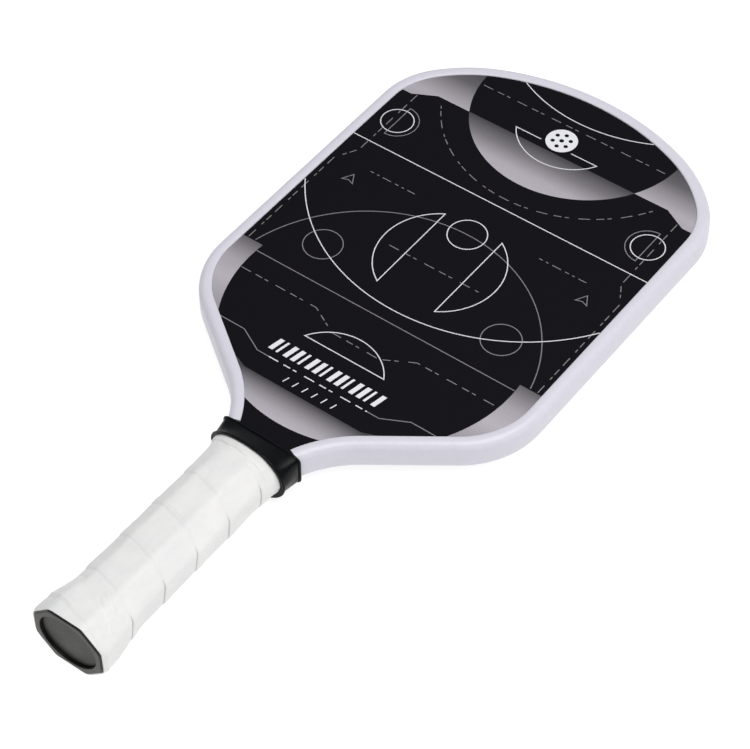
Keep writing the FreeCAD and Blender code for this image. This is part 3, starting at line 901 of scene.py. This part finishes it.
def dashed_lines(side, prefix):
    """Dashed arcs, rails and crossings."""
    ink = Ink(side, INK * 0.9)
    thin = GREY_LINE
    sky_height, sky_radius = 106.6, 75.4
    stop = math.degrees(math.atan2(70.0 - sky_height, 65.9))
    for sign in (1, -1):
        arc = arc_points((0, sky_height), sky_radius, -90, stop)
        ink.dashes(arc if sign > 0 else mirrored(arc), thin, offset=2.9)
        rail = [(79.2, 66.7), (79.2, 16.7), (85.9, 5.0), (85.9, -64.2)]
        ink.dashes(rail if sign > 0 else mirrored(rail), thin)
        short = [(sign * 37.5, 7.5), (sign * 65.0, 7.5)]
        ink.dashes(short if sign > 0 else short[::-1], thin, FINE_DASHES)
    ink.dashes([(-55.9, 93.4), (55.0, 93.4)], thin)
    ink.dashes([(-26.7, -28.3), (26.7, -28.3)], thin)
    low = [(-75.9, -82.5), (-30.0, -82.5), (-26.7, -84.2), (-14.2, -90.9), (14.2, -91.3)]
    low += [(26.7, -84.2), (30.0, -82.5), (75.9, -82.5)]
    ink.dashes(low, thin)
    ink.finish(prefix + "_dashed_lines", "grey_ink")


def ball_mark(side, prefix):
    """Plain perforated ball in place of a badge, and slanted bars and ticks in place of words."""
    marks = Ink(side, INK * 1.1)
    marks.area(ring(BALL, BALL_RADIUS, 0.8))
    low, high = -116.2, -108.2
    slant = 1.6
    for k in range(15):
        left = -32.8 + 4.3 * k
        right = left + (1.3 if k % 3 == 1 else 2.5)
        marks.area([(left, low), (right, low), (right + slant, high), (left + slant, high)])
    tick_low, tick_high = -129.0, -125.4
    for k in range(6):
        x = -14.0 + 5.6 * k
        marks.stroke([(x, tick_low), (x + 1.1, tick_high)], 0.55 * MM)
    marks.finish(prefix + "_plain_marks", "mark_ink")

    holes = Ink(side, INK * 1.5)
    holes.area(ring(BALL, 1.25, 0.5))
    for k in range(6):
        turn = math.radians(60 * k + 30)
        spot = (BALL[0] + 4.6 * math.cos(turn), BALL[1] + 4.6 * math.sin(turn))
        holes.area(ring(spot, 1.15, 0.5))
    holes.finish(prefix + "_ball_holes", "film")


def print_face(side, prefix):
    """Whole graphic of one face; side is 1 in front and -1 behind."""
    silver_panels(side, prefix)
    white_lines(side, prefix)
    grey_lines(side, prefix)
    dashed_lines(side, prefix)
    ball_mark(side, prefix)


# ---------- handle section


def station_sizes(distance):
    """Half width and half height of the wrapped handle at a distance from the butt, in metres."""
    at = min(max(distance / MM, GRIP_STATIONS[0][0]), GRIP_STATIONS[-1][0])
    k = max(i for i, station in enumerate(GRIP_STATIONS[:-1]) if station[0] <= at)
    part = (at - GRIP_STATIONS[k][0]) / (GRIP_STATIONS[k + 1][0] - GRIP_STATIONS[k][0])
    return between_stations(k, 1, part) * MM, between_stations(k, 2, part) * MM


def station_slope(k, column):
    """Slope at a station, limited so that the curve through the stations never overshoots."""
    if k == 0 or k == len(GRIP_STATIONS) - 1:
        return 0.0
    before, here, after = GRIP_STATIONS[k - 1:k + 2]
    left = (here[column] - before[column]) / (here[0] - before[0])
    right = (after[column] - here[column]) / (after[0] - here[0])
    return 2 * left * right / (left + right) if left * right > 0 else 0.0


def between_stations(k, column, part):
    """Smooth value at a share of the way from one station to the next."""
    low, high = GRIP_STATIONS[k:k + 2]
    span = high[0] - low[0]
    t2, t3 = part * part, part ** 3
    value = (2 * t3 - 3 * t2 + 1) * low[column] + (3 * t2 - 2 * t3) * high[column]
    value += (t3 - 2 * t2 + part) * span * station_slope(k, column)
    return value + (t3 - t2) * span * station_slope(k + 1, column)


def octagon_radius(turn, half_width, half_height, power):
    """Distance from the axis to an octagon with corners rounded by a power sum.

    The turn is 0 at the front and grows towards +X; a higher power makes crisper corners.
    """
    x, z = math.sin(turn), math.cos(turn)
    flat_x, flat_z = FLAT_SHARE_X * half_width, FLAT_SHARE_Z * half_height
    slope = Vector((half_height - flat_z, half_width - flat_x)).normalized()
    reach = slope.x * half_width + slope.y * flat_z
    total = (abs(x) / half_width) ** power + (abs(z) / half_height) ** power
    total += ((slope.x * abs(x) + slope.y * abs(z)) / reach) ** power
    return total ** (-1 / power)


def round_axis(turn, distance, radius):
    """Point at a turn and radius round the handle's axis, at a distance from the butt."""
    return Vector((radius * math.sin(turn), distance - HALF_LENGTH, radius * math.cos(turn)))


def handle_point(turn, distance, lift):
    """Point at a height over the plain handle, whose corners are softer towards the collar."""
    power = lerp(CRISP_CORNERS, SOFT_CORNERS, smooth((distance / MM - SOFTEN_FROM) / SOFTEN_RUN))
    radius = octagon_radius(turn, *station_sizes(distance), power)
    return round_axis(turn, distance, radius + lift)


# ---------- wrap


def strip_phase(turn, distance):
    """Place across the strip, from 0 at the free edge facing the butt to 1 at the next, uneven edge."""
    plain = ((distance - WRAP_SEAM_AT) / WRAP_PITCH + turn / (2 * math.pi)) % 1.0
    wander = noise.noise(Vector((math.cos(turn) * 1.3, math.sin(turn) * 1.3, distance / MM / 30)))
    return (plain + SEAM_WANDER * wander) % 1.0


def side_share(turn):
    """1 on the two narrow sides of the handle, where the strip's edges gape; 0 above and below."""
    return smooth((abs(math.sin(turn)) - 0.86) / 0.12)


def strip_lift(turn, distance):
    """Height of the overlapping strips: a step at the free edge, a groove before it, a soft swell."""
    phase = strip_phase(turn, distance)
    from_edge = phase * WRAP_PITCH
    to_next = (1 - phase) * WRAP_PITCH
    side = side_share(turn)
    rise = smooth(from_edge / lerp(FLAT_EDGE_RUN, SIDE_EDGE_RUN, side))
    step = WRAP_STEP * lerp(0.6, 1.0, smooth((distance / MM - 9) / 8))
    height = step * (rise * (1 - 0.8 * smooth(phase)) - 0.5)
    groove = lerp(FLAT_GROOVE, SIDE_GROOVE, side) * MM * (1 - smooth(to_next / GROOVE_RUN))
    return height - groove + SWELL * bell((from_edge - SWELL_AT) / SWELL_RUN)


def dent_lift(turn, distance):
    """Soft dents of the padding, deeper where the wrap is slack near the butt."""
    spot = Vector((math.sin(turn) * 2.2, distance / MM / 9, math.cos(turn) * 2.2))
    slack = lerp(SLACK_AT_BUTT, SLACK, smooth((distance / MM - 25) / 25))
    return slack * MM * noise.noise(spot) + SMALL_DENTS * MM * noise.noise(spot * 2.7)


def wrap_lift(turn, distance):
    """Height of the wrap over the plain handle; it tucks in where the collar covers it."""
    start = smooth((distance / MM - WRAP_START) / 2.2)
    bare = 1 - smooth((distance / MM - COLLAR_LOW - 0.3 - collar_shift(turn)) / TUCK_RUN)
    relief = strip_lift(turn, distance) + dent_lift(turn, distance) + fold_lift(turn, distance)
    return relief * start * bare - lerp(TUCK, -BARE_RISE, bare) * MM


def seam_shade(turn, distance):
    """Painted shade of the open joint between two strips at a point, from 0 to 1: a painted shadow in
    the slits on the +X side and a faint one along every seam.
    """
    phase = strip_phase(turn, distance)
    away = min(phase, 1 - phase) * WRAP_PITCH
    gape = SLIT_SHADE * side_share(turn) * (math.sin(turn) > 0) + SEAM_SHADE
    return gape * (1 - smooth(away / SLIT_RUN))


def fold_lift(turn, distance):
    """Height of the small folds, each of which fades out past its two ends."""
    degrees = math.degrees((turn + math.pi) % (2 * math.pi) - math.pi)
    total = 0.0
    for (start, low), (stop, high), height, width in WRAP_FOLDS:
        part = (degrees - start) / (stop - start)
        if -0.2 < part < 1.2:
            fade = smooth((part + 0.2) / 0.3) * smooth((1.2 - part) / 0.3)
            away = (distance / MM - lerp(low, high, part)) / width
            total += height * MM * fade * bell(away)
    return total


def make_wrap():
    """One closed skin round the handle, from the edge at the butt cap to a hidden end at the collar."""
    around = turns_round(216)
    outer_rows = 480
    inner_rows = 42
    verts = []
    shades = []
    for i in range(outer_rows + 1):
        distance = lerp(WRAP_START * MM, WRAP_END * MM, i / outer_rows)
        verts += [handle_point(turn, distance, wrap_lift(turn, distance)) for turn in around]
        # painted shade of the seams, which the wrap's material mixes in as a dark colour
        shades += [seam_shade(turn, distance) for turn in around]
    # inner skin, back from the collar's end to the butt
    for i in range(inner_rows + 1):
        distance = lerp(WRAP_END * MM, WRAP_START * MM, i / inner_rows)
        depth = lerp(INNER_AT_BUTT, INNER_DEPTH, smooth(distance / MM / 4)) * MM
        verts += [handle_point(turn, distance, -depth) for turn in around]
    faces = grid_faces(outer_rows + inner_rows + 2, len(around), close_rows=True)
    wrap = object_from("white_grip_wrap", verts, faces, MATERIALS["wrap"], True)
    shades += [0.0] * (len(verts) - len(shades))
    wrap.data.attributes.new("seam_shade", "FLOAT", "POINT").data.foreach_set("value", shades)
    crease_sharp(wrap, 60)
    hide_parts("grip_wrap")


def make_finishing_tape():
    """Thin band that ties down the last turn of the wrap, out of sight under the collar."""
    around = turns_round(144)
    verts = []
    for distance, lift in ((124.1, -0.9), (124.1, -0.5), (126.9, -0.5), (126.9, -0.9)):
        verts += [handle_point(turn, distance * MM, lift * MM) for turn in around]
    faces = grid_faces(4, len(around), close_rows=True)
    band = object_from("finishing_band", verts, faces, MATERIALS["tape"])
    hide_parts("finishing_tape")


# ---------- collar


def collar_shift(turn):
    """How far the collar's edge on the wrap is pulled towards the blade, in millimetres."""
    return COLLAR_TWIST * math.sin(2 * turn) - COLLAR_SKEW * math.sin(turn)


def collar_point(turn, distance, lift):
    """Section that changes from the wrap's rounded octagon to a flat rounded box round the neck.

    The sleeve was pulled on unevenly: its +X side sits nearer the butt, and its edge waves a little.
    """
    first, last = COLLAR_LOW + COLLAR_CHANGE[0], COLLAR_HIGH - COLLAR_CHANGE[1]
    part = clamp((distance - first) / (last - first))
    oval = octagon_radius(turn, *COLLAR_LOW_SIZE, COLLAR_OVAL_POWER)
    across = abs(math.sin(turn)) / COLLAR_HIGH_SIZE[0]
    upward = abs(math.cos(turn)) / COLLAR_HIGH_SIZE[1]
    box = (across ** COLLAR_BOX_POWER + upward ** COLLAR_BOX_POWER) ** (-1 / COLLAR_BOX_POWER)
    shift = collar_shift(turn) * lerp(1.0, COLLAR_SHIFT_LEFT, part)
    return round_axis(turn, (distance + shift) * MM, (lerp(oval, box, part) + lift) * MM)


def bead_profile(centre):
    """Upper part of a round bead, as (distance, lift)."""
    profile = []
    for k in range(9):
        angle = math.radians(200 - 220 * k / 8)
        lift = COLLAR_BEAD_LIFT + COLLAR_BEAD * math.sin(angle)
        profile.append((centre + COLLAR_BEAD * math.cos(angle), lift))
    return profile


def make_collar():
    """Rubber sleeve with a round bead at each end and a slightly hollow waist."""
    profile = bead_profile(COLLAR_LOW + COLLAR_BEAD)
    low, high = COLLAR_LOW + 2 * COLLAR_BEAD, COLLAR_HIGH - 2 * COLLAR_BEAD
    for k in range(1, 14):
        hollow = COLLAR_WAIST * math.sin(math.pi * k / 14)
        profile.append((lerp(low, high, k / 14), COLLAR_BODY_LIFT - hollow))
    profile += bead_profile(COLLAR_HIGH - COLLAR_BEAD)
    profile.append((COLLAR_HIGH - COLLAR_HIGH_INSIDE[0], -COLLAR_HIGH_INSIDE[1]))
    profile.append((COLLAR_LOW + COLLAR_LOW_INSIDE[0], -COLLAR_LOW_INSIDE[1]))
    around = turns_round(200)
    verts = []
    for distance, lift in profile:
        verts += [collar_point(turn, distance, lift) for turn in around]
    faces = grid_faces(len(profile), len(around), close_rows=True)
    collar = object_from("rubber_collar", verts, faces, MATERIALS["collar"], True)
    crease_sharp(collar, 55)
    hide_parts("grip_collar")


# ---------- butt cap


def cap_ring(around, half_width, half_height, depth, power):
    """Ring of points on the cap's octagon, its sizes and its depth inside the butt in millimetres."""
    radii = [octagon_radius(turn, half_width, half_height, power) for turn in around]
    return [round_axis(turn, depth * MM, radius * MM) for turn, radius in zip(around, radii)]


def oval_ring(around, half_width, half_height, depth):
    """Ring of points on an oval, likewise."""
    points = []
    for turn in around:
        radius = 1 / math.hypot(math.sin(turn) / half_width, math.cos(turn) / half_height)
        points.append(round_axis(turn, depth * MM, radius * MM))
    return points


def make_butt_cap():
    """Bevelled octagonal end with an oval recess, and the skirt that goes up inside the wrap."""
    around = turns_round(192)
    rings = [cap_ring(around, *sizes) for sizes in CAP_OCTAGONS]
    rings += [oval_ring(around, *sizes) for sizes in CAP_OVALS]
    verts = [point for row in rings for point in row]
    faces = grid_faces(len(rings), len(around), close_rows=True)
    cap = object_from("bevelled_butt_cap", verts, faces, MATERIALS["cap"], True)
    # the bevel gets the near-black polished material, and the recess's wall gets the same near-black
    # colour as painted shade
    cap.data.materials.append(MATERIALS["rim_and_wall_shade"])
    for face in cap.data.polygons:
        if face.index // len(around) in CAP_GLOSSY_BANDS:
            face.material_index = 1
    crease_sharp(cap, 22)
    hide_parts("butt_cap")


def make_end_plate():
    """Slightly domed oval plate that sits at the bottom of the recess."""
    around = turns_round(144)
    rings = [oval_ring(around, *sizes) for sizes in PLATE_EDGE]
    half_width, half_height, _ = PLATE_EDGE[-1]
    for share in (0.8, 0.5, 0.2):
        rings.append(oval_ring(around, half_width * share, half_height * share, PLATE_TOP))
    verts = [point for row in rings for point in row]
    count = len(around)
    faces = grid_faces(len(rings), count)
    faces.append(tuple(range(count)))
    faces.append(tuple((len(rings) - 1) * count + k for k in range(count)))
    plate = object_from("oval_end_plate", verts, faces, MATERIALS["plate"], True)
    crease_sharp(plate, 30)
    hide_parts("butt_end_plate")


# ---------- stage


def make_floor():
    """Pale floor just under the butt's flare and the blade's underside near the tip."""
    near = Vector((0, -HALF_LENGTH + 6 * MM, cad_low.z))
    far = Vector((0, HALF_LENGTH - 4 * MM, -GUARD_HALF_HEIGHT))
    tilt = math.atan2(far.z - near.z, far.y - near.y)
    place = near - Vector((0, 0, FLOOR_GAP))
    bpy.ops.mesh.primitive_plane_add(size=FLOOR_SIZE, location=place, rotation=(tilt, 0, 0))
    floor = bpy.context.object
    floor.name = "floor"
    material, _, shader = new_material("pale_floor", grey(0.3), 0.9, 0.05)
    shader.inputs["Emission Color"].default_value = (1, 1, 1, 1)
    shader.inputs["Emission Strength"].default_value = FLOOR_GLOW
    floor.data.materials.append(material)


def add_area(name, place, target, size, power, colour=(1, 1, 1)):
    """Square area light at a place, turned towards a target."""
    lamp = bpy.data.lights.new(name, "AREA")
    lamp.size = size
    lamp.energy = power
    lamp.color = colour
    holder = bpy.data.objects.new(name, lamp)
    holder.location = place
    holder.rotation_euler = (Vector(target) - Vector(place)).to_track_quat("-Z", "Y").to_euler()
    bpy.context.scene.collection.objects.link(holder)


def light_scene():
    """Even white surroundings, a broad light overhead and a faint warm one on the right."""
    world = bpy.data.worlds.new("studio")
    world.use_nodes = True
    sky = world.node_tree.nodes["Background"]
    sky.inputs["Color"].default_value = (1.0, 1.0, 1.0, 1)
    sky.inputs["Strength"].default_value = SKY_GLOW
    bpy.context.scene.world = world
    add_area("overhead", (0.45, 0.05, 1.5), (0, 0, 0), 1.3, 23.5)
    add_area("right_fill", (0.75, -1.2, 0.3), (0, -0.05, 0), 0.9, 1.4, (1.0, 0.97, 0.91))


def place_camera():
    """Three-quarter view from the butt end, right of the paddle and well above it."""
    data = bpy.data.cameras.new("camera")
    data.lens = CAMERA_LENS
    data.sensor_width = SENSOR_WIDTH
    holder = bpy.data.objects.new("camera", data)
    forward = Vector(CAMERA_FORWARD)
    upward = Vector(CAMERA_UP)
    turn = Matrix((forward.cross(upward), upward, -forward)).transposed().to_4x4()
    holder.matrix_world = Matrix.Translation(Vector(CAMERA_PLACE) * MM) @ turn
    bpy.context.scene.collection.objects.link(holder)
    bpy.context.scene.camera = holder
    bpy.context.scene.view_settings.view_transform = "Standard"


paint_cad_nodes()
make_edge_guard()
print_face(1, "front")
print_face(-1, "rear")
make_wrap()
make_finishing_tape()
make_collar()
make_butt_cap()
make_end_plate()
make_floor()
light_scene()
place_camera()
